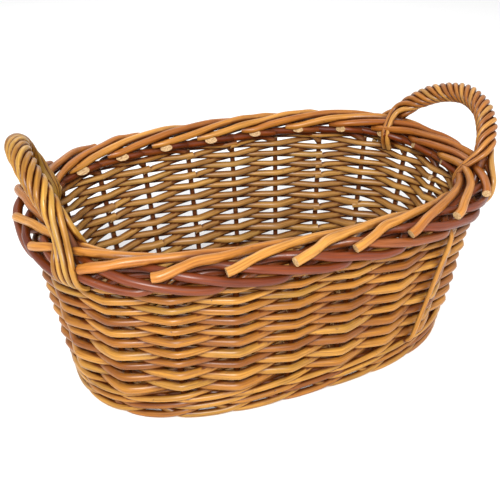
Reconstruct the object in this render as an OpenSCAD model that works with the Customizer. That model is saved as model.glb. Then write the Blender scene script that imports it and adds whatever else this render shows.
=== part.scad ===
// Oval willow basket with two twisted end handles.
// Frame: origin on the resting plane under the middle of the base, +X along the
// length, +Y across the width, +Z up. All sizes are in millimetres.

/* [Basket] */
// Length over the border
rim_length = 400; // [390:5:410]
// Width over the border
rim_width = 280; // [274:2:290]
// Height of the body to the top of the border
body_height = 155; // [152:1:162]
// Distance that the ends lean outward from base to border
end_flare = 22; // [18:1:24]
// Distance that the sides lean outward from base to border
side_flare = 24; // [20:1:25]
// Squareness of the oval plan, where 2 is a true ellipse
plan_power = 2.6; // [2.3:0.1:2.8]

/* [Side weave] */
// Number of stakes around the wall
stake_count = 22; // [20:2:22]
// Thickness of a stake
stake_d = 5.4; // [4.8:0.2:5.8]
// Number of woven rows between the upsett wale and the border
row_count = 20; // [16:2:20]
// Thickness of a weaving rod, from inside to outside
weaver_d = 4.4; // [3.8:0.2:4.8]
// Free gap between a stake and the rods that pass it
stake_gap = 0.5; // [0.4:0.1:0.7]

/* [Border] */
// Height of the rolled border
border_height = 24; // [22:1:26]
// Width of the rolled border, from its inner to its outer side
border_width = 30; // [28:1:32]
// Thickness of a trimmed rod end under the border
tail_d = 5.6; // [5:0.2:6]
// Length of a trimmed rod end
tail_length = 26; // [18:1:28]

/* [Handles] */
// Outward lean of the left handle from upright, in degrees
left_handle_lean = 20; // [17:1:23]
// Outward lean of the right handle from upright, in degrees
right_handle_lean = 26; // [23:1:27]
// Depth of the bow's centre below the top of the border
bow_depth = 20; // [19:1:20]
// Thickness of the bow rod inside the handle
bow_d = 8; // [7:0.5:8.5]
// Outside thickness of the twisted handle
wrap_d = 17; // [15:0.5:18]
// Thickness of one lashing strand at a handle foot
lash_d = 4.6; // [4:0.2:4.8]
// Number of lashing strands at a handle foot
lash_count = 4; // [3:1:4]
// Drop of the lashing below the top of the border
lash_drop = 36; // [32:1:40]

/* [Base] */
// Height of the bottom wale that the basket stands on
wale_height = 12; // [11:1:13]
// Height of the upsett wale above it, which holds the stakes upright
upsett_height = 15; // [13:1:17]
// Thickness of the under and the upper layer of the base weave
base_weave_t = 3.2; // [2.6:0.2:3.4]
// Number of woven rounds in the base
round_count = 11; // [8:1:12]
// Thickness of a short stick, which the long sticks are threaded through
short_stick_d = 7; // [6.6:0.2:7.2]
// Thickness of a long stick
long_stick_d = 4; // [3.6:0.2:4.2]
// Number of short sticks across the base
short_count = 7; // [5:2:7]
// Number of long sticks along the base
long_count = 3; // [3:2:3]

/* [Hidden] */
$fn = 48;
clear = 0.3;                 // free gap between neighbouring rods
wave_steps = 6;              // outline points from one stake to the next, on a wavy row
plain_steps = 4;             // the same, on a plain ring
leg_length = 24;             // part of a stake that runs into the base
leg_paring = 0.8;            // thickness cut away from that part
stick_gap = 42;              // distance from the end of a base stick to the wall
short_pitch = 26;
long_pitch = 10;
hub_half = 6;                // half width of the small opening that the last round leaves
foot_lift = 1.5;             // height of the base weave above the resting plane
socket_depth = 3;            // straight end of a bow, inside the border
hidden_turn = 22.5;          // part of a bow, in degrees, that the border hides
slice_count = 5;             // levels in the border's rounded section
oval_points = 80;            // outline points of a round of the base

stake_r = stake_d / 2;
rim_a = (rim_length - border_width) / 2;
rim_b = (rim_width - border_width) / 2;
base_a = rim_a - end_flare;
base_b = rim_b - side_flare;
border_foot = body_height - border_height;
row_foot = wale_height + upsett_height;
row_height = (border_foot - row_foot) / row_count;
wave = stake_r + stake_gap + weaver_d / 2;
wall_half = wave + weaver_d / 2;
stick_z = foot_lift + base_weave_t + clear + short_stick_d / 2;
upper_weave_z = stick_z + short_stick_d / 2 + clear;
round_step = (base_b - wall_half - clear - hub_half) / round_count;
base_top = upper_weave_z + base_weave_t;
crown_height = 5.6;
crown_foot = body_height - crown_height;
stake_top = crown_foot - clear;
willow = [0.80, 0.56, 0.30];
honey = [0.86, 0.66, 0.38];
bark = [0.66, 0.38, 0.20];
olive = [0.62, 0.48, 0.26];

function pad(i) = i < 10 ? str("0", i) : str(i);
STAKES = [for (i = [1:stake_count]) str("stake_", pad(i))];
ROWS = [for (i = [1:row_count]) str("side_row_", pad(i))];

// ---- Plan: a superellipse, with places round it given as a share of its girth ----
function side(v) = v < 0 ? -1 : 1;
function on_oval(a, b, t) = [
    a * side(cos(t)) * pow(abs(cos(t)), 2 / plan_power),
    b * side(sin(t)) * pow(abs(sin(t)), 2 / plan_power)];
function outward(a, b, t) =
    let (nx = side(cos(t)) * pow(abs(cos(t)), 2 - 2 / plan_power) / a,
         ny = side(sin(t)) * pow(abs(sin(t)), 2 - 2 / plan_power) / b)
    [nx, ny] / norm([nx, ny]);
fine = 720;
rim_points = [for (i = [0:fine]) on_oval(rim_a, rim_b, i * 360 / fine)];
rim_run = [for (i = 0, s = 0; i <= fine;
    s = s + (i < fine ? norm(rim_points[i + 1] - rim_points[i]) : 0), i = i + 1) s];
turn_table = [for (i = [0:fine]) [rim_run[i] / rim_run[fine], i * 360 / fine]];
// The oval's parameter at a share of the way round, from the +X end
function turn(share) = lookup(share - floor(share), turn_table);

function level_a(z) = base_a + end_flare * z / body_height;
function level_b(z) = base_b + side_flare * z / body_height;
// Point on the wall at a share of the way round and a height, moved outward by out
function wall_xy(share, z, out) =
    let (t = turn(share))
    on_oval(level_a(z), level_b(z), t) + out * outward(level_a(z), level_b(z), t);
function wall_point(share, z, out) =
    let (p = wall_xy(share, z, out)) [p[0], p[1], z];
// Direction along the wall, as an angle in plan
function along(share, z) =
    let (n = outward(level_a(z), level_b(z), turn(share))) atan2(n[1], n[0]) + 90;

// Closed outline at height z, offset by out, and by swing times a wave that peaks at the stakes
function outline(z, out, swing, steps) = [for (i = [0:stake_count * steps - 1])
    wall_xy(i / (stake_count * steps), z, out + swing * cos(180 * i / steps))];

module ring(z, h, inner, outer, swing = 0, steps = plain_steps) {
    translate([0, 0, z])
        linear_extrude(h)
            difference() {
                polygon(outline(z + h / 2, outer, swing, steps));
                polygon(outline(z + h / 2, inner, swing, steps));
            }
}

// Straight rod between two points
module rod(from, to, d) {
    run = to - from;
    translate(from)
        rotate([0, acos(run[2] / norm(run)), atan2(run[1], run[0])])
            cylinder(d = d, h = norm(run));
}

// ---- Base: sticks between an under and an upper layer of woven rounds ----
module long_sticks(d) {
    reach = base_a - stick_gap;
    for (row = [0:long_count - 1]) {
        y = (row - (long_count - 1) / 2) * long_pitch;
        rod([-reach, y, stick_z], [reach, y, stick_z], d);
    }
}

module base_long_sticks() {
    color(bark) long_sticks(long_stick_d);
}

// Each short stick is slit for the long sticks that pass through it
module base_short_sticks() {
    reach = base_b - stick_gap;
    color(bark)
        difference() {
            for (column = [0:short_count - 1]) {
                x = (column - (short_count - 1) / 2) * short_pitch;
                rod([x, -reach, stick_z], [x, reach, stick_z], short_stick_d);
            }
            long_sticks(long_stick_d + 2 * clear);
        }
}

// Oval of the base's plan, moved inward from the wall's centre line by inset
module base_oval(inset) {
    polygon([for (i = [0:oval_points - 1])
        on_oval(base_a - inset, base_b - inset, i * 360 / oval_points)]);
}

module woven_rounds(z) {
    for (k = [0:round_count - 1]) {
        inset = wall_half + clear + k * round_step;
        translate([0, 0, z])
            linear_extrude(base_weave_t)
                difference() {
                    base_oval(inset);
                    base_oval(inset + round_step - clear);
                }
    }
}

module base_under_weave() {
    color(olive) woven_rounds(foot_lift);
}

module base_upper_weave() {
    color(olive) woven_rounds(upper_weave_z);
}

// ---- Wales: at each level, the rods in front of the stakes and the rods behind them ----
module wale_outer(foot, top) {
    color(honey) ring(foot, top - foot, stake_r + clear, wall_half);
}

module wale_inner(foot, top) {
    color(honey) ring(foot, top - foot, -wall_half, -stake_r - clear);
}

// ---- Stakes: a pared leg in the base, kinked up into an upright that follows the wall ----
module stake(i) {
    share = i / stake_count;
    low = wall_point(share, stick_z, 0);
    run = wall_point(share, stake_top, 0) - low;
    inward = wall_point(share, stick_z, -leg_length) - low;
    color(olive) {
        rod(low + inward, low, stake_d - leg_paring);
        rod(low - stake_r / norm(run) * run, low + run, stake_d);
    }
}

// ---- Side rows: one round each, in front of every second stake and behind the others ----
module side_row(i) {
    color(i % 2 == 0 ? willow : honey)
        ring(row_foot + i * row_height, row_height, -weaver_d / 2, weaver_d / 2,
            i % 2 == 0 ? wave : -wave, wave_steps);
}

// ---- Border: rods rolled outside, inside and over the tops of the stakes ----
function border_half(z) =
    let (share = (z - border_foot) / border_height)
    border_width / 2 * pow(1 - pow(abs(2 * share - 1), 3), 1 / 3);

// One roll of the border: side_of is 1 outside the stakes and -1 inside them
module roll(side_of) {
    slice = (crown_foot - clear - border_foot) / slice_count;
    near = stake_r + clear;
    for (k = [0:slice_count - 1]) {
        z = border_foot + k * slice;
        far = border_half(z + slice / 2);
        if (side_of > 0)
            ring(z, slice, near, far);
        else
            ring(z, slice, -far, -near);
    }
}

module bow_sockets() {
    for (end = [-1, 1])
        bow(end, bow_d + 2 * clear, socket_depth + clear);
}

module border_outer_roll() {
    color(bark)
        difference() {
            roll(1);
            bow_sockets();
        }
}

module border_inner_roll() {
    color(bark)
        difference() {
            roll(-1);
            bow_sockets();
        }
}

module border_crown() {
    half = border_half(crown_foot + crown_height / 2);
    color(bark)
        difference() {
            ring(crown_foot, crown_height, -half, half);
            bow_sockets();
        }
}

// Trimmed rod ends that show inside under the border, one beside each stake
module border_tails() {
    out = -wall_half - tail_d / 2 - clear;
    z = border_foot - tail_d / 2 - clear;
    color(bark)
        for (i = [0:stake_count - 1]) {
            near = wall_point((i + 0.2) / stake_count, z, out);
            heading = along((i + 0.5) / stake_count, z);
            rod(near, near + tail_length * [cos(heading), sin(heading), 0], tail_d);
        }
}

// ---- Handles: end is -1 for the left one and 1 for the right one ----
foot_share = 1.67 / stake_count;
bow_z = body_height - bow_depth;
bow_foot = wall_point(foot_share, bow_z, 0);
bow_r = bow_foot[1];

// Places its children in the bow's own plane: X across the basket, Y up the handle
module bow_plane(end) {
    translate([end * bow_foot[0], 0, bow_z])
        rotate([0, end * (end > 0 ? right_handle_lean : left_handle_lean), 0])
            rotate([90, 0, 90])
                children();
}

module bow(end, d, depth) {
    bow_plane(end)
        rotate_extrude(angle = 180)
            translate([bow_r, 0])
                circle(d = d);
    for (leg = [-1, 1])
        bow_plane(end)
            translate([leg * bow_r, 0, 0])
                rotate([90, 0, 0])
                    cylinder(d = d, h = depth);
}

module handle_bow(end) {
    color(bark) bow(end, bow_d, socket_depth);
}

// The twisted rods, as a sleeve over the part of the bow that stands clear of the border
module handle_wrap(end) {
    color(honey)
        bow_plane(end)
            rotate([0, 0, hidden_turn])
                rotate_extrude(angle = 180 - 2 * hidden_turn)
                    translate([bow_r, 0])
                        difference() {
                            circle(d = wrap_d);
                            circle(d = bow_d + 2 * clear);
                        }
}

// Strands that run from a handle foot over the outside of the border into the weave
module handle_lashing(end) {
    out = border_width / 2 + lash_d / 2 + clear;
    pitch = lash_d + clear;
    color(honey)
        for (leg = [-1, 1])
            for (k = [0:lash_count - 1]) {
                share = (end > 0 ? 0 : 0.5) + leg * foot_share;
                heading = along(share, bow_z);
                slide = (k - (lash_count - 1) / 2) * pitch * [cos(heading), sin(heading), 0];
                rod(wall_point(share, body_height - lash_drop, out) + slide,
                    wall_point(share, crown_foot, out) + slide, lash_d);
            }
}

base_long_sticks();
base_short_sticks();
base_under_weave();
base_upper_weave();
wale_outer(0, wale_height);  // bottom_wale_outer
wale_inner(0, stick_z - stake_r - clear);  // bottom_wale_inner
wale_outer(wale_height, row_foot);  // upsett_wale_outer
wale_inner(base_top + clear, row_foot);  // upsett_wale_inner
border_outer_roll();
border_inner_roll();
border_crown();
border_tails();
handle_bow(-1);  // left_handle_bow
handle_wrap(-1);  // left_handle_wrap
handle_lashing(-1);  // left_handle_lashing
handle_bow(1);  // right_handle_bow
handle_wrap(1);  // right_handle_wrap
handle_lashing(1);  // right_handle_lashing
for (i = [0:stake_count - 1])
    stake(i);
for (i = [0:row_count - 1])
    side_row(i);
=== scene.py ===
import math

import bmesh
import bpy
import numpy as np
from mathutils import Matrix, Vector
from mathutils.bvhtree import BVHTree


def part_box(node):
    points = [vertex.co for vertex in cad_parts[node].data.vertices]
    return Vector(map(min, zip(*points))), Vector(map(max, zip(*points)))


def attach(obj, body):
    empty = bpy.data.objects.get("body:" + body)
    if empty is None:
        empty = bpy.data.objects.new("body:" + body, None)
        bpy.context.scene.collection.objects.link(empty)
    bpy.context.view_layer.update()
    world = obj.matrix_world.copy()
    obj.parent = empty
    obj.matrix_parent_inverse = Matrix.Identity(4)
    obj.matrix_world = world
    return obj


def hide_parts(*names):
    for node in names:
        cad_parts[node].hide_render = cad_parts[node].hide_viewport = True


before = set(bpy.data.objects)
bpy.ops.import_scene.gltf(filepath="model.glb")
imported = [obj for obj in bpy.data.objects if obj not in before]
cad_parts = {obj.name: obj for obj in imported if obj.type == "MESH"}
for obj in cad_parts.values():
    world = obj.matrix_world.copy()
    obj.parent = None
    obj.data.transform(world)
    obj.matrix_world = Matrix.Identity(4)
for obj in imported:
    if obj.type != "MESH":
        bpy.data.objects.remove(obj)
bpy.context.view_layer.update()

# An oval willow basket: stakes and side rows, wales, a two-part rod border, roped handles and a
# stick base. Sizes are in metres. Places round the wall are shares of the border's girth, from
# the right-hand end and counter-clockwise from above; one pitch is the space between two stakes.

MM = 0.001
rng = np.random.default_rng(11)

# ---- Sizes ----
RIM_A, RIM_B = 185.0 * MM, 125.0 * MM      # half length and half width of the border's middle line
FOOT_A, FOOT_B = 163.0 * MM, 101.0 * MM    # the same of the wall at the resting plane
PLAN_POWER = 2.6
BORDER_FOOT, BORDER_TOP = 131.0 * MM, 155.0 * MM
ROW_FOOT, ROW_TOP = 27.0 * MM, 135.0 * MM
STICK_Z = 8.5 * MM
STAKES = sum(name.startswith("stake_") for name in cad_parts)
ROWS = sum(name.startswith("side_row_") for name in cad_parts)


# ---- Plan and wall ----
def oval(a, b, angle):
    c, s = np.cos(angle), np.sin(angle)
    x = a * np.sign(c) * np.abs(c) ** (2 / PLAN_POWER)
    y = b * np.sign(s) * np.abs(s) ** (2 / PLAN_POWER)
    return x, y


def normal(a, b, angle):
    c, s = np.cos(angle), np.sin(angle)
    x = np.sign(c) * np.abs(c) ** (2 - 2 / PLAN_POWER) / a
    y = np.sign(s) * np.abs(s) ** (2 - 2 / PLAN_POWER) / b
    length = np.hypot(x, y)
    return x / length, y / length


ANGLES = np.linspace(0, 2 * math.pi, 1441)
RIM_X, RIM_Y = oval(RIM_A, RIM_B, ANGLES)
RUN = np.concatenate([[0], np.cumsum(np.hypot(np.diff(RIM_X), np.diff(RIM_Y)))])
GIRTH = RUN[-1]
PITCH = GIRTH / STAKES


def turn(share):
    return np.interp(np.mod(share, 1.0), RUN / GIRTH, ANGLES)


def wall(pitches, z, out):
    """Points on the wall: pitches round from the right-hand end, height, distance outward."""
    pitches, z, out = np.broadcast_arrays(*(np.asarray(v, float) for v in (pitches, z, out)))
    angle = turn(pitches / STAKES)
    rise = z / BORDER_TOP
    a = FOOT_A + (RIM_A - FOOT_A) * rise
    b = FOOT_B + (RIM_B - FOOT_B) * rise
    x, y = oval(a, b, angle)
    nx, ny = normal(a, b, angle)
    return np.stack([x + out * nx, y + out * ny, z], -1)


def wobble(count, size, spacing):
    """A smooth random wander: a fresh value every few points, eased between."""
    knots = rng.normal(0, size, count // spacing + 3)
    at = np.arange(count) / spacing
    low = at.astype(int)
    ease = (1 - np.cos((at - low) * math.pi)) / 2
    return knots[low] * (1 - ease) + knots[low + 1] * ease


def through(keys, count):
    """A smooth line of count points through a few key points."""
    keys = np.asarray(keys, float)
    ends = np.vstack([2 * keys[0] - keys[1], keys, 2 * keys[-1] - keys[-2]])
    at = np.linspace(0, len(keys) - 1 - 1e-9, count)
    k = at.astype(int)
    t = (at - k)[:, None]
    p0, p1, p2, p3 = ends[k], ends[k + 1], ends[k + 2], ends[k + 3]
    return 0.5 * (2 * p1 + (p2 - p0) * t + (2 * p0 - 5 * p1 + 4 * p2 - p3) * t ** 2
                  + (3 * p1 - p0 - 3 * p2 + p3) * t ** 3)


# ---- Rods ----
class Rod:
    """One willow rod: its line, its radius along it, and a tone that sets its colour.

    slant is the way that a slanting cut at its far end faces, or None for a square cut."""

    def __init__(self, points, butt, tip, slant=None):
        self.points = np.asarray(points, float)
        count = len(self.points)
        self.radii = np.linspace(butt, tip, count) * (1 + wobble(count, 0.03, 7))
        self.tone = rng.random()
        self.slant = slant


PIECES = []
SLANT = 1.5                  # how far a slanting cut runs, in rod thicknesses


def piece_of_rods(name, rods, sides, material, slot, *nodes):
    """Sweep a round section along every rod, close the cut ends, and keep each rod's own grain."""
    curve = bpy.data.curves.new(name, "CURVE")
    curve.dimensions = "3D"
    curve.bevel_depth = 1.0
    curve.bevel_resolution = (sides - 4) // 2
    curve.use_fill_caps = True
    for rod in rods:
        spline = curve.splines.new("POLY")
        count = len(rod.points)
        spline.points.add(count - 1)
        spline.points.foreach_set("co", np.c_[rod.points, np.ones(count)].ravel())
        spline.points.foreach_set("radius", rod.radii)
    source = bpy.data.objects.new(name + "_line", curve)
    bpy.context.scene.collection.objects.link(source)
    mesh = bpy.data.meshes.new_from_object(source)
    bpy.data.objects.remove(source)
    mesh.name = name

    # The sweep lists the end caps first, last rod first, and then each rod ring by ring.
    around = np.arange(sides) * 2 * math.pi / sides
    rings = []
    for rod in rods:
        steps = np.linalg.norm(np.diff(rod.points, axis=0), axis=1)
        along = np.concatenate([[0], np.cumsum(steps)]) + rng.random() * 10
        rings.append(np.stack([
            np.repeat(along, sides),
            np.outer(rod.radii, np.cos(around)).ravel(),
            np.outer(rod.radii, np.sin(around)).ravel()], -1))
    caps = [part for ring in reversed(rings) for part in (ring[-sides:], ring[:sides])]
    grain = np.concatenate(caps + rings)
    tone = np.concatenate([np.full(2 * sides, rod.tone) for rod in reversed(rods)]
                          + [np.full(len(ring), rod.tone) for rod, ring in zip(rods, rings)])
    assert len(grain) == len(mesh.vertices), (name, len(grain), len(mesh.vertices))
    mesh.attributes.new("grain", "FLOAT_VECTOR", "POINT").data.foreach_set("vector", grain.ravel())
    mesh.attributes.new("tone", "FLOAT", "POINT").data.foreach_set("value", tone)
    slant_ends(mesh, rods, rings, sides)

    mesh.materials.clear()
    mesh.materials.append(material)
    mesh.materials.append(cut_end)
    shape = bmesh.new()
    shape.from_mesh(mesh)
    for face in shape.faces:
        cap = len(face.verts) == 3
        face.smooth = not cap
        face.material_index = int(cap)
    bmesh.ops.remove_doubles(shape, verts=shape.verts, dist=0.005 * MM)
    for edge in shape.edges:
        if len({face.material_index for face in edge.link_faces}) == 2:
            edge.smooth = False
    shape.to_mesh(mesh)
    shape.free()
    piece = bpy.data.objects.new(name, mesh)
    bpy.context.scene.collection.objects.link(piece)
    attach(piece, "root")
    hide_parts(*nodes)
    PIECES.append(piece)


def slant_ends(mesh, rods, rings, sides):
    """Lean the last ring and cap of each rod that has a slanting cut."""
    places = np.empty(3 * len(mesh.vertices))
    mesh.vertices.foreach_get("co", places)
    places = places.reshape(-1, 3)
    ring_start = 2 * sides * len(rods)
    for index, (rod, ring) in enumerate(zip(rods, rings)):
        last = ring_start + len(ring) - sides
        cap = 2 * sides * (len(rods) - 1 - index)
        ring_start += len(ring)
        if rod.slant is None:
            continue
        heading = rod.points[-1] - rod.points[-2]
        heading = heading / np.linalg.norm(heading)
        for first in (last, cap):
            part = slice(first, first + sides)
            side = (places[part] - rod.points[-1]) @ rod.slant
            places[part] -= SLANT * side[:, None] * heading
    mesh.vertices.foreach_set("co", places.ravel())


RAYS = 10                    # rays cast from every point to feel for its neighbours
RAY_REACH = 11 * MM


def shade_hollows():
    """Mark on every rod how deep each place lies among the others, for painted shade between the
    rods, and how much of it faces into the basket, for a painted tint of the greyer light inside
    it."""
    meshes = [piece.data for piece in PIECES]
    counts = [len(mesh.vertices) for mesh in meshes]
    starts = np.concatenate([[0], np.cumsum(counts)])
    places, normals = [], []
    polygons = []
    for mesh, start in zip(meshes, starts):
        flat = np.empty(3 * len(mesh.vertices))
        mesh.vertices.foreach_get("co", flat)
        places.append(flat.reshape(-1, 3))
        flat = np.empty(3 * len(mesh.vertices))
        mesh.vertex_normals.foreach_get("vector", flat)
        normals.append(flat.reshape(-1, 3))
        polygons += [[int(start) + v for v in face.vertices] for face in mesh.polygons]
    places, normals = np.concatenate(places), np.concatenate(normals)
    tree = BVHTree.FromPolygons(places.tolist(), polygons)
    golden = math.pi * (3 - math.sqrt(5))
    heights = 1 - (np.arange(RAYS) + 0.5) / RAYS * 0.85
    spin = golden * np.arange(RAYS)
    fan = np.stack([np.sqrt(1 - heights ** 2) * np.cos(spin),
                    np.sqrt(1 - heights ** 2) * np.sin(spin), heights], -1)
    side = np.cross(normals, np.array([0.31, 0.52, 0.79]))
    side /= np.linalg.norm(side, axis=1)[:, None]
    other = np.cross(normals, side)
    # Painted shade: the share of rays that meet another rod near by, nearer hits counting more,
    # darkens the colour between the rods
    hollow = np.zeros(len(places))
    origins = [Vector(p) for p in (places + normals * 0.25 * MM).tolist()]
    for x, y, z in fan:
        ways = (x * side + y * other + z * normals).tolist()
        for k, (origin, way) in enumerate(zip(origins, ways)):
            gap = tree.ray_cast(origin, way, RAY_REACH)[3]
            if gap is not None:
                hollow[k] += 1 - 0.6 * gap / RAY_REACH
    hollow /= RAYS
    # Painted light: the faces turned into the basket below the border are tinted towards the greyer
    # light inside it
    outward = places[:, :2] / np.array([RIM_A, RIM_B]) ** 2
    outward /= np.linalg.norm(outward, axis=1)[:, None]
    inside = np.clip(0.35 - (normals[:, :2] * outward).sum(-1) * 0.9, 0, 1)
    inside *= np.clip((BORDER_FOOT + 4 * MM - places[:, 2]) / (4 * MM), 0, 1)
    for mesh, start, count in zip(meshes, starts, counts):
        part = slice(start, start + count)
        mesh.attributes.new("hollow", "FLOAT", "POINT").data.foreach_set("value", hollow[part])
        mesh.attributes.new("inside", "FLOAT", "POINT").data.foreach_set("value", inside[part])


# ---- Materials ----
INSIDE_LIGHT_TINT = (0.50, 0.300, 0.105, 1)        # painted greyer light on the faces turned into the basket
SPECK = (0.085, 0.028, 0.010, 1)       # the bud scars
HOLLOW_SHADE = (0.085, 0.017, 0.0015, 1)      # painted shade in the hollows between the rods


def willow(name, stops, coat):
    """Varnished willow: a tone for each rod, streaks and blotches along it, specks at the buds."""
    material = bpy.data.materials.new(name)
    material.use_nodes = True
    nodes, links = material.node_tree.nodes, material.node_tree.links
    shader = nodes["Principled BSDF"]

    def node(kind, **settings):
        made = nodes.new(kind)
        for key, value in settings.items():
            setattr(made, key, value)
        return made

    def join(source, target):
        links.new(source, target)

    grain = node("ShaderNodeAttribute", attribute_name="grain")
    tone = node("ShaderNodeAttribute", attribute_name="tone")
    hollow = node("ShaderNodeAttribute", attribute_name="hollow")
    inside = node("ShaderNodeAttribute", attribute_name="inside")

    def noise(scale, detail):
        mapping = node("ShaderNodeMapping")
        mapping.inputs["Scale"].default_value = scale
        texture = node("ShaderNodeTexNoise")
        texture.inputs["Scale"].default_value = 1.0
        texture.inputs["Detail"].default_value = detail
        texture.inputs["Roughness"].default_value = 0.6
        join(grain.outputs["Vector"], mapping.inputs["Vector"])
        join(mapping.outputs["Vector"], texture.inputs["Vector"])
        return texture.outputs["Fac"]

    def math_node(operation, first, second, third=None):
        made = node("ShaderNodeMath", operation=operation)
        for socket, value in zip(made.inputs, (first, second, third)):
            if value is None:
                continue
            if isinstance(value, (int, float)):
                socket.default_value = value
            else:
                join(value, socket)
        return made.outputs[0]

    def spread(value, low, high, to_low=0.0, to_high=1.0):
        made = node("ShaderNodeMapRange")
        join(value, made.inputs["Value"])
        for key, number in zip(("From Min", "From Max", "To Min", "To Max"),
                               (low, high, to_low, to_high)):
            made.inputs[key].default_value = number
        return made.outputs["Result"]

    streaks = noise((35, 800, 800), 4)
    blotches = noise((22, 120, 120), 3)
    specks = noise((230, 400, 400), 2)
    fine = noise((120, 2400, 2400), 3)

    ramp = node("ShaderNodeValToRGB")
    ramp.color_ramp.elements.remove(ramp.color_ramp.elements[1])
    for index, (at, colour) in enumerate(stops):
        element = ramp.color_ramp.elements[0] if index == 0 else ramp.color_ramp.elements.new(at)
        element.position = at
        element.color = (*colour, 1)
    shift = math_node("MULTIPLY_ADD", blotches, 0.8, -0.4)
    join(math_node("ADD", tone.outputs["Fac"], shift), ramp.inputs["Fac"])

    def mixed(first, second, factor, blend="MIX"):
        made = node("ShaderNodeMix", data_type="RGBA", blend_type=blend)
        for socket, value in zip((made.inputs["A"], made.inputs["B"], made.inputs["Factor"]),
                                 (first, second, factor)):
            if isinstance(value, (tuple, float)):
                socket.default_value = value
            else:
                join(value, socket)
        return made.outputs["Result"]

    # Painted light: the faces turned into the basket take a greyer tint
    inside_tinted = mixed(ramp.outputs["Color"], INSIDE_LIGHT_TINT,
                  math_node("MULTIPLY", inside.outputs["Fac"], 0.45))
    value = node("ShaderNodeCombineColor")
    dark = spread(streaks, 0.3, 0.7, 0.60, 1.20)
    join(dark, value.inputs["Red"])
    join(math_node("POWER", dark, 1.2), value.inputs["Green"])
    join(math_node("POWER", dark, 1.5), value.inputs["Blue"])
    streaked = mixed(inside_tinted, value.outputs["Color"], 1.0, "MULTIPLY")
    specked = mixed(streaked, SPECK, spread(specks, 0.69, 0.78, 0.0, 0.8))
    # Painted shade: the colour goes dark where the rods lie deep among the others
    shade_painted = mixed(specked, HOLLOW_SHADE,
                    spread(hollow.outputs["Fac"], 0.08, 0.46, 0.0, 0.97))
    join(shade_painted, shader.inputs["Base Color"])

    join(spread(streaks, 0.3, 0.7, 0.50, 0.33), shader.inputs["Roughness"])
    bump = node("ShaderNodeBump")
    bump.inputs["Strength"].default_value = 0.55
    bump.inputs["Distance"].default_value = 0.35 * MM
    height = math_node("ADD", math_node("MULTIPLY", fine, 0.35), streaks)
    join(math_node("SUBTRACT", height, spread(specks, 0.66, 0.78, 0.0, 0.8)), bump.inputs["Height"])
    join(bump.outputs["Normal"], shader.inputs["Normal"])
    shader.inputs["Specular IOR Level"].default_value = 0.28
    shader.inputs["Coat Weight"].default_value = coat
    shader.inputs["Coat Roughness"].default_value = 0.25
    return material


def pale_pith():
    """The pale cut end of a rod, with its darker pith and rings."""
    material = bpy.data.materials.new("cut_end")
    material.use_nodes = True
    nodes, links = material.node_tree.nodes, material.node_tree.links
    shader = nodes["Principled BSDF"]
    grain = nodes.new("ShaderNodeAttribute")
    grain.attribute_name = "grain"
    mapping = nodes.new("ShaderNodeMapping")
    mapping.inputs["Scale"].default_value = (300, 900, 900)
    texture = nodes.new("ShaderNodeTexNoise")
    texture.inputs["Scale"].default_value = 1.0
    texture.inputs["Detail"].default_value = 3
    ramp = nodes.new("ShaderNodeValToRGB")
    ramp.color_ramp.elements[0].position = 0.3
    ramp.color_ramp.elements[0].color = (0.30, 0.14, 0.045, 1)
    ramp.color_ramp.elements[1].position = 0.62
    ramp.color_ramp.elements[1].color = (0.62, 0.42, 0.20, 1)
    links.new(grain.outputs["Vector"], mapping.inputs["Vector"])
    links.new(mapping.outputs["Vector"], texture.inputs["Vector"])
    links.new(texture.outputs["Fac"], ramp.inputs["Fac"])
    links.new(ramp.outputs["Color"], shader.inputs["Base Color"])
    shader.inputs["Roughness"].default_value = 0.6
    return material


cut_end = pale_pith()
honey_willow = willow("honey_willow", [
    (0.00, (0.202, 0.057, 0.003)), (0.25, (0.306, 0.108, 0.009)), (0.55, (0.388, 0.156, 0.016)),
    (0.80, (0.462, 0.213, 0.030)), (1.00, (0.321, 0.152, 0.017))], 0.175)
red_willow = willow("red_willow", [
    (0.00, (0.095, 0.013, 0.001)), (0.35, (0.151, 0.025, 0.002)), (0.70, (0.203, 0.041, 0.004)),
    (1.00, (0.233, 0.060, 0.008))], 0.2)
amber_willow = willow("amber_willow", [
    (0.00, (0.304, 0.085, 0.009)), (0.35, (0.403, 0.142, 0.018)), (0.70, (0.493, 0.204, 0.031)),
    (1.00, (0.544, 0.256, 0.049))], 0.2)
brown_willow = willow("brown_willow", [
    (0.00, (0.079, 0.018, 0.003)), (0.50, (0.135, 0.038, 0.006)),
    (1.00, (0.206, 0.067, 0.012))], 0.125)
gold_willow = willow("gold_willow", [
    (0.00, (0.258, 0.104, 0.009)), (0.40, (0.358, 0.159, 0.018)), (0.75, (0.458, 0.231, 0.035)),
    (1.00, (0.382, 0.215, 0.039))], 0.2)
russet_willow = willow("russet_willow", [
    (0.00, (0.264, 0.078, 0.011)), (0.40, (0.391, 0.147, 0.024)), (0.75, (0.547, 0.255, 0.051)),
    (1.00, (0.410, 0.205, 0.050))], 0.2)


# ---- Side weave: each row goes in front of one stake and behind the next ----
STAKE_R = 2.6 * MM
BUTT_SHARE, TIP_SHARE = 0.63, 0.53     # radius of a rod's two ends against its row's height
ROW_SHRINK = 0.72            # height of the top row against the bottom one
STEPS = 12                   # points from one stake to the next
SHARPNESS = 0.992            # 0 weaves in a pure wave, 1 in straight lines with kinks


def kinked(phase):
    """A wave that is straight between the stakes and bends round them."""
    return np.arcsin(SHARPNESS * np.cos(phase)) / math.asin(SHARPNESS)


def row_heights():
    """The middle and the height of every row, which shrink evenly from the bottom to the top."""
    sizes = np.linspace(1, ROW_SHRINK, ROWS)
    sizes *= (ROW_TOP - ROW_FOOT) / sizes.sum()
    return ROW_FOOT + np.cumsum(sizes) - sizes / 2, sizes


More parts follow.
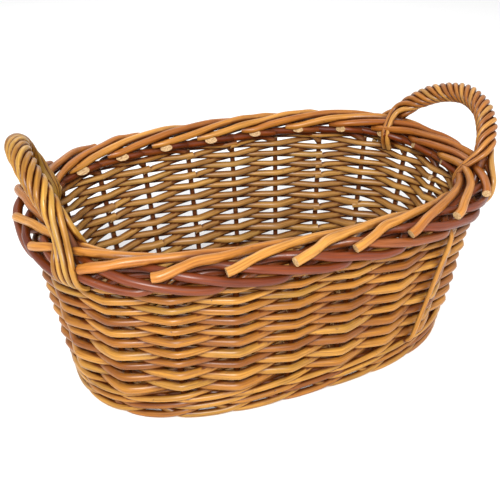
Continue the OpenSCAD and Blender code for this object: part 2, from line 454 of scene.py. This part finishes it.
def weave_rods(row, z, size):
    first = 2 * int(rng.integers(STAKES // 2)) + row % 2
    split = 2 * int(rng.integers(5, 8))
    rods = []
    lift = wobble(STAKES * STEPS + 1, 0.45 * MM, STEPS)
    for begin, end in ((first, first + split), (first + split, first + STAKES)):
        count = (end - begin) * STEPS + 1
        at = np.linspace(begin, end, count)
        thick = 1 + rng.normal(0, 0.05)
        butt, tip = BUTT_SHARE * size * thick, TIP_SHARE * size * thick
        radii = np.linspace(butt, tip, count)
        out = -(STAKE_R + radii) * kinked((at - begin) * math.pi)
        out += wobble(count, 0.3 * MM, STEPS)
        height = z + lift[np.mod((at * STEPS).astype(int), STAKES * STEPS)]
        # The butt end lies above the tip end of the rod before it, behind a stake
        run = np.minimum(at - begin, end - at) * PITCH
        hidden = np.clip(1 - run / (8 * MM), 0, 1)
        height = height + np.where(at - begin < end - at, 1.1, -1.3) * MM * hidden
        spare = 3.5 * MM / PITCH
        at[0], at[-1] = at[0] - spare, at[-1] + spare
        rods.append(Rod(wall(at, height, out), butt, tip))
    return rods


heights, sizes = row_heights()
for row in range(ROWS):
    name = f"side_row_{row + 1:02d}"
    piece_of_rods(f"woven_row_{row + 1:02d}", weave_rods(row, heights[row], sizes[row]),
                  10, honey_willow, "weave_rod", name)


# ---- Wales: three rods in each round, in front of two stakes and behind one ----
WALE_R = 2.8 * MM
FOOT_Z = 5.65 * MM                     # height of the round that the basket stands on
UPSETT_Z = (14.6 * MM, 22.4 * MM)      # heights of the two rounds over it
# Turns of the round in pitches, distance outward and height, as a strand goes on from the stake
# that it lies behind. Outward is in reaches, height in rod radii.
UPSETT_LINE = [(0, -1, 0.7), (0.5, 0, -0.3), (1, 1, -1.0), (1.5, 1.06, -0.35), (2, 1, 0.5),
               (2.5, 0, 1.2), (3, -1, 0.7)]
FOOT_LINE = [(0, -1, 1.9), (0.5, 0.1, 1.9), (0.8, 0.95, -0.3), (1.1, 1, -0.85), (1.7, 1.06, -0.5),
             (2, 1, 0.6), (2.5, 0, 2.2), (3, -1, 1.9)]


def wale_round(z, radius, first, line):
    rods = []
    count = STAKES * STEPS + 1
    turns, outs, drops = (np.array(column) for column in zip(*line))
    for strand in range(3):
        begin = first + strand
        at = np.linspace(begin, begin + STAKES, count)
        phase = np.mod(at - begin, 3)
        smooth = np.ones(5) / 5
        out = np.interp(phase, turns, outs) * (STAKE_R + radius)
        drop = np.interp(phase, turns, drops)
        out = np.convolve(np.pad(out, 2, "edge"), smooth, "valid")
        drop = np.convolve(np.pad(drop, 2, "edge"), smooth, "valid")
        height = z + drop * radius + wobble(count, 0.25 * MM, STEPS)
        rods.append(Rod(wall(at, height, out), radius * 1.06, radius * 0.92))
    return rods


piece_of_rods("bottom_wale", wale_round(FOOT_Z, WALE_R, 0, FOOT_LINE), 10,
              honey_willow, "wale_rod", "bottom_wale_outer", "bottom_wale_inner")
upsett = []
for level, z in enumerate(UPSETT_Z):
    upsett += wale_round(z, WALE_R * 0.94, level + 1, UPSETT_LINE)
piece_of_rods("upsett_wale", upsett, 10,
              honey_willow, "wale_rod", "upsett_wale_outer", "upsett_wale_inner")


# ---- Stakes ----
LEG = 33 * MM                # part of a stake that runs into the base
SPARE_STAKE = 19             # number of the stake past which a second rod lies on the weave


def stake_rod(index):
    keys = [wall(index, STICK_Z, -LEG), wall(index, STICK_Z, -LEG * 0.6),
            wall(index, STICK_Z, -9 * MM), wall(index, STICK_Z + 2.5 * MM, -2.5 * MM),
            wall(index, STICK_Z + 9 * MM, 0)]
    keys += [wall(index, z, 0) for z in np.linspace(STICK_Z + 24 * MM, BORDER_FOOT + 2 * MM, 5)]
    return Rod(through(keys, 60), STAKE_R, STAKE_R * 0.92)


def spare_rod(number):
    """A slim rod laid over the weave, from the upsett wale up into the border."""
    keys = [wall(number - 0.33, 21 * MM, 5 * MM), wall(number - 0.3, 27 * MM, 10.0 * MM)]
    keys += [wall(number - 0.28 + 0.2 * t, (35 + 88 * t) * MM, 11.0 * MM)
             for t in (0, 0.33, 0.66, 1)]
    keys += [wall(number - 0.07, 134 * MM, 7 * MM)]
    return Rod(through(keys, 50), 2.0 * MM, 1.8 * MM)


for index in range(STAKES):
    piece_of_rods(f"stake_rod_{index + 1:02d}", [stake_rod(index)], 10, brown_willow, "stake",
                  f"stake_{index + 1:02d}")
piece_of_rods("spare_rod", [spare_rod(SPARE_STAKE)], 10, honey_willow, "stake",
              f"stake_{SPARE_STAKE:02d}")


# ---- Border ----
# Both sets of rods: places in pitches, height above the border's foot and distance outward in mm
TRACK_R = 3.35 * MM
TRACK_ROUTE = [
    (0.00, -4, 0), (0.15, 3, -1.5), (0.5, 8, -4.5), (1.0, 9.5, -5.8), (1.35, 13.5, -5),
    (1.65, 17, -1.5), (1.9, 17.8, 3.5), (2.2, 16.4, 8.5), (2.5, 13.8, 11.2), (2.9, 9.8, 12.2),
    (3.3, 6.3, 12.2), (3.6, 5.0, 11.4), (3.78, 5.3, 7.5), (3.93, 7.0, 0), (4.08, 9.5, -7),
    (4.3, 11.5, -11.5), (4.55, 12.6, -13)]
ROPE_R = 3.4 * MM
ROPE_ROUTE = [
    (0.0, 14.5, -6.5), (0.25, 16.3, -11), (0.6, 18.8, -11.8), (1.0, 21, -9.8), (1.5, 23, -6.2),
    (2.0, 23.8, -2), (2.35, 23.4, 2), (2.6, 21.9, 6.3), (2.85, 19.2, 10.4), (2.98, 17.6, 12)]
ROPE_START = 0.8             # where a rolled rod starts, in pitches past its stake


def route_keys(index, route, way):
    """Points of one border rod, each moved a little at random."""
    return [wall(index + way * p, BORDER_FOOT + h * MM + rng.normal(0, 0.4) * MM,
                 o * MM + rng.normal(0, 0.35) * MM) for p, h, o in route]


def track_rod(index):
    """A stake's top: bent down behind one stake, along the outside past two, and in again."""
    points = through(route_keys(index, TRACK_ROUTE, 1), 108)
    inward = wall(index + 4, BORDER_TOP, -1.0) - wall(index + 4, BORDER_TOP, 0.0)
    facing = inward + np.array([0, 0, 0.35])
    thick = 1 + rng.normal(0, 0.06)
    # The last stretch is one long step, so that the slanting cut has room
    points = np.vstack([points[:-6], points[-1:]])
    return Rod(points, TRACK_R * 1.03 * thick, TRACK_R * 0.94 * thick, facing)


def rope_rod(index):
    """A rolled rod: up the inside of the border, over its top and down the outside."""
    points = through(route_keys(index, ROPE_ROUTE, -1), 84)
    thick = 1 + rng.normal(0, 0.06)
    return Rod(points, ROPE_R * 0.95 * thick, ROPE_R * 1.04 * thick)


piece_of_rods("border_tracks", [track_rod(i) for i in range(STAKES)], 12, red_willow,
              "border_rod", "border_inner_roll", "border_tails")
piece_of_rods("border_rope", [rope_rod(i + ROPE_START) for i in range(STAKES)], 12, amber_willow,
              "border_rod", "border_outer_roll", "border_crown")


# ---- Handles ----
BOW_R = 4.0 * MM
BOW_FOOT_X, BOW_FOOT_Z = 163.5 * MM, 136.5 * MM
BOW_REACH = 70.7 * MM        # half the spread of a bow's feet, and its height along its lean
# Places where the strands cross the border, in pitches from the middle of the basket's end
OUTSIDE_PITCH, INSIDE_PITCH = 1.62, 1.40
LEANS = {"left": 19.5, "right": 36.5}          # degrees outward
STRANDS = {"left": 7, "right": 6}
STRAND_R = {"left": 2.5 * MM, "right": 2.65 * MM}
TWISTS = {"left": 62 * MM, "right": 44 * MM}   # length of bow for one turn of a strand
# Height above the border's foot and distance outward, in mm, down over either side of the border
OVER_OUTSIDE = [(20, 15.2), (12, 17.6), (5, 16.8), (-1, 13.4), (-4, 8.5), (-3, 4.0)]
OVER_INSIDE = [(20, -13.5), (12, -15.6), (5, -13.4), (0, -10.0), (-2.5, -6.0)]
FOOT_GAP = 2.06              # space between strands at a foot, in strand radii
EASE_ROUNDS = 10             # how often the strands are eased towards a long sweep


def bow_line(side, count, start=0.0):
    """The bow's line with its outward and its cross direction at each point."""
    end = 1 if side == "right" else -1
    lean = math.radians(LEANS[side])
    angle = np.linspace(start, math.pi - start, count)
    up = BOW_REACH * np.sin(angle)
    out = up * np.sin(angle) ** 0.3 * math.sin(lean)
    line = np.stack([end * (BOW_FOOT_X + out), BOW_REACH * np.cos(angle),
                     BOW_FOOT_Z + up * math.cos(lean)], -1)
    heading = np.gradient(line, axis=0)
    heading /= np.linalg.norm(heading, axis=1)[:, None]
    outward = np.array([end * math.cos(lean), 0, -math.sin(lean)])
    outward = outward - (heading @ outward)[:, None] * heading
    outward /= np.linalg.norm(outward, axis=1)[:, None]
    return line, outward, np.cross(heading, outward)


def handle_strand(side, number):
    """Up over the border at one foot, round and round the bow, and down at the other foot."""
    end = 1 if side == "right" else -1
    radius = STRAND_R[side]
    line, outward, across = bow_line(side, 150, math.radians(21))
    steps = np.linalg.norm(np.diff(line, axis=0), axis=1)
    run = np.concatenate([[0], np.cumsum(steps)])
    count = STRANDS[side]
    # The twist dies away towards both feet, where the strands spread
    rate = np.clip(np.minimum(run, run[-1] - run) / (26 * MM), 0.12, 1)
    turned = np.concatenate([[0], np.cumsum((rate[1:] + rate[:-1]) / 2 * steps)]) / TWISTS[side]
    whole = round(turned[-1] * count) / count
    turned *= whole / turned[-1]
    place = 2 * math.pi * ((number + 0.25) / count + turned)
    reach = (BOW_R + radius * 0.97) * (1 + wobble(len(line), 0.035, 9))
    coil = line + reach[:, None] * (np.cos(place)[:, None] * outward
                                    + np.sin(place)[:, None] * across)

    def foot(at, way):
        """The way down over the border, from the coil to the tucked end."""
        # Every strand's place round the bow at this foot, to share out the room on the border
        base = place[way] - 2 * math.pi * number / count
        places = [base + 2 * math.pi * k / count for k in range(count)]
        outer = [math.cos(p) > -0.3 for p in places]
        middle = OUTSIDE_PITCH if outer[number] else INSIDE_PITCH
        pitch = (0 if end > 0 else STAKES / 2) + at * end * middle
        along_wall = wall(pitch + 0.05, BORDER_TOP, 0) - wall(pitch - 0.05, BORDER_TOP, 0)
        shift = [math.sin(p) * float(across[way] @ along_wall) for p in places]
        group = sorted((k for k in range(count) if outer[k] == outer[number]),
                       key=lambda k: shift[k])
        rank = group.index(number) - (len(group) - 1) / 2
        slide = rank * FOOT_GAP * radius / PITCH
        route = OVER_OUTSIDE if outer[number] else OVER_INSIDE
        return [wall(pitch + slide, BORDER_FOOT + h * MM, o * MM) for h, o in route]

    keys = foot(1, 0)[::-1] + list(coil[4:-4:6]) + foot(-1, -1)
    keys = spaced(keys, 4 * MM)
    for _ in range(EASE_ROUNDS):
        # The stiff rods take the bends at the feet in one long sweep
        eased = (keys[:-2] + 2 * keys[1:-1] + keys[2:]) / 4
        middle = np.arange(1, len(keys) - 1)
        near = np.clip(1.5 - np.minimum(middle, middle[::-1]) / 14, 0, 1)[:, None]
        keys[1:-1] += near * (eased - keys[1:-1])
    return Rod(through(keys, 300), radius, radius * 0.9)


def spaced(keys, gap):
    """The same line with its key points an even distance apart, so that a curve through them
    doesn't overshoot."""
    keys = through(keys, 40 * len(keys))
    run = np.concatenate([[0], np.cumsum(np.linalg.norm(np.diff(keys, axis=0), axis=1))])
    at = np.linspace(0, run[-1], int(run[-1] / gap) + 1)
    return np.stack([np.interp(at, run, keys[:, k]) for k in range(3)], -1)


for side, material in (("left", gold_willow), ("right", russet_willow)):
    line, _, _ = bow_line(side, 60)
    piece_of_rods(f"{side}_bow_rod", [Rod(line, BOW_R, BOW_R)], 12, brown_willow,
                  "handle_rod", f"{side}_handle_bow")
    strands = [handle_strand(side, number) for number in range(STRANDS[side])]
    piece_of_rods(f"{side}_handle_strands", strands, 10, material,
                  "handle_rod", f"{side}_handle_wrap", f"{side}_handle_lashing")


# ---- Base ----
LONG_R, SHORT_R = 2.0 * MM, 3.5 * MM
ROUND_R = 1.75 * MM
ROUND_PITCH = 7.0 * MM
FIRST_ROUND = 8.5 * MM       # how far the outermost base round lies inside the wall's foot
ROUND_STEPS = 8              # points between two crossings


def sticks(node, count, along_x, radius):
    low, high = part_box(node)
    rods = []
    for k in range(count):
        share = k / (count - 1)
        if along_x:
            y = low[1] + radius + (high[1] - low[1] - 2 * radius) * share
            line = np.linspace([low[0], y, STICK_Z], [high[0], y, STICK_Z], 24)
        else:
            x = low[0] + radius + (high[0] - low[0] - 2 * radius) * share
            line = np.linspace([x, low[1], STICK_Z], [x, high[1], STICK_Z], 24)
        rods.append(Rod(line, radius, radius * 0.95))
    return rods


long_sticks = sticks("base_long_sticks", 3, True, LONG_R)
short_sticks = sticks("base_short_sticks", 7, False, SHORT_R)
piece_of_rods("base_long_rods", long_sticks, 10, brown_willow, "base_stick", "base_long_sticks")
piece_of_rods("base_short_rods", short_sticks, 10, brown_willow, "base_stick", "base_short_sticks")


def crossings(inset):
    """Where a base round crosses what it is woven over, as angles round its oval."""
    a, b = FOOT_A - inset, FOOT_B - inset
    if inset < LEG:
        return turn(np.arange(STAKES) / STAKES)
    found = []
    for rod in short_sticks:
        x = rod.points[0][0]
        if abs(x) < a * 0.96:
            c = abs(x / a) ** (PLAN_POWER / 2)
            angle = math.acos(c) if x > 0 else math.pi - math.acos(c)
            found += [angle, 2 * math.pi - angle]
    for rod in long_sticks:
        y = rod.points[0][1]
        s = min(abs(y / b), 1) ** (PLAN_POWER / 2)
        angle = math.copysign(math.asin(s), y)
        found += [angle % (2 * math.pi), (math.pi - angle) % (2 * math.pi)]
    return np.sort(np.array(found))


def base_round(inset):
    at = crossings(inset)
    knots = np.concatenate([at, [at[0] + 2 * math.pi]])
    angle = np.concatenate([np.linspace(knots[k], knots[k + 1], ROUND_STEPS, endpoint=False)
                            for k in range(len(at))] + [[knots[-1]]])
    phase = np.arange(len(angle)) / ROUND_STEPS * math.pi
    rods = []
    for strand in (0, math.pi):
        swing = np.sin(phase + strand) * ROUND_R
        x, y = oval(FOOT_A - inset - swing, FOOT_B - inset - swing, angle)
        z = STICK_Z + np.cos(phase + strand) * (ROUND_R + 2.4 * MM)
        rods.append(Rod(np.stack([x, y, z], -1), ROUND_R * 1.05, ROUND_R * 0.95))
    return rods


rounds = []
inset = FIRST_ROUND
while FOOT_B - inset > 5 * MM:
    rounds += base_round(inset)
    inset += ROUND_PITCH
piece_of_rods("base_rounds", rounds, 8, honey_willow, "base_rod",
              "base_under_weave", "base_upper_weave")


shade_hollows()


# ---- Studio ----
def floor():
    shape = bmesh.new()
    bmesh.ops.create_grid(shape, x_segments=1, y_segments=1, size=6)
    mesh = bpy.data.meshes.new("floor")
    shape.to_mesh(mesh)
    shape.free()
    plane = bpy.data.objects.new("floor", mesh)
    bpy.context.scene.collection.objects.link(plane)
    material = bpy.data.materials.new("pale_floor")
    material.use_nodes = True
    shader = material.node_tree.nodes["Principled BSDF"]
    shader.inputs["Base Color"].default_value = (0.97, 0.97, 0.97, 1)
    shader.inputs["Roughness"].default_value = 0.8
    mesh.materials.append(material)


def area_light(name, place, aim, size, power):
    light = bpy.data.lights.new(name, "AREA")
    light.size = size
    light.energy = power
    lamp = bpy.data.objects.new(name, light)
    bpy.context.scene.collection.objects.link(lamp)
    lamp.location = place
    aim_at(lamp, aim)


def aim_at(thing, target):
    thing.rotation_euler = (Vector(target) - thing.location).to_track_quat("-Z", "Y").to_euler()


def camera():
    azimuth, elevation, distance = math.radians(-23.5), math.radians(30.3), 0.6561
    target = (0, 0, 0.0732)
    data = bpy.data.cameras.new("camera")
    data.sensor_width = 36
    data.lens = 53.1
    data.shift_x = -0.0182
    data.shift_y = 0.0123
    data.clip_start = 0.01
    view = bpy.data.objects.new("camera", data)
    bpy.context.scene.collection.objects.link(view)
    view.location = (
        target[0] + distance * math.cos(elevation) * math.sin(azimuth),
        target[1] - distance * math.cos(elevation) * math.cos(azimuth),
        target[2] + distance * math.sin(elevation))
    aim_at(view, target)
    bpy.context.scene.camera = view


floor()
area_light("key", (-0.5, -1.0, 1.0), (0, 0, 0.08), 0.35, 24)
area_light("fill", (1.1, -0.6, 0.7), (0, 0, 0.08), 0.9, 2.5)
area_light("back", (0.2, 1.2, 1.0), (0, 0, 0.1), 0.9, 4)
world = bpy.data.worlds.new("studio")
bpy.context.scene.world = world
world.use_nodes = True
world.node_tree.nodes["Background"].inputs["Color"].default_value = (1, 1, 1, 1)
world.node_tree.nodes["Background"].inputs["Strength"].default_value = 0.8
camera()
bpy.context.scene.view_settings.view_transform = "Standard"
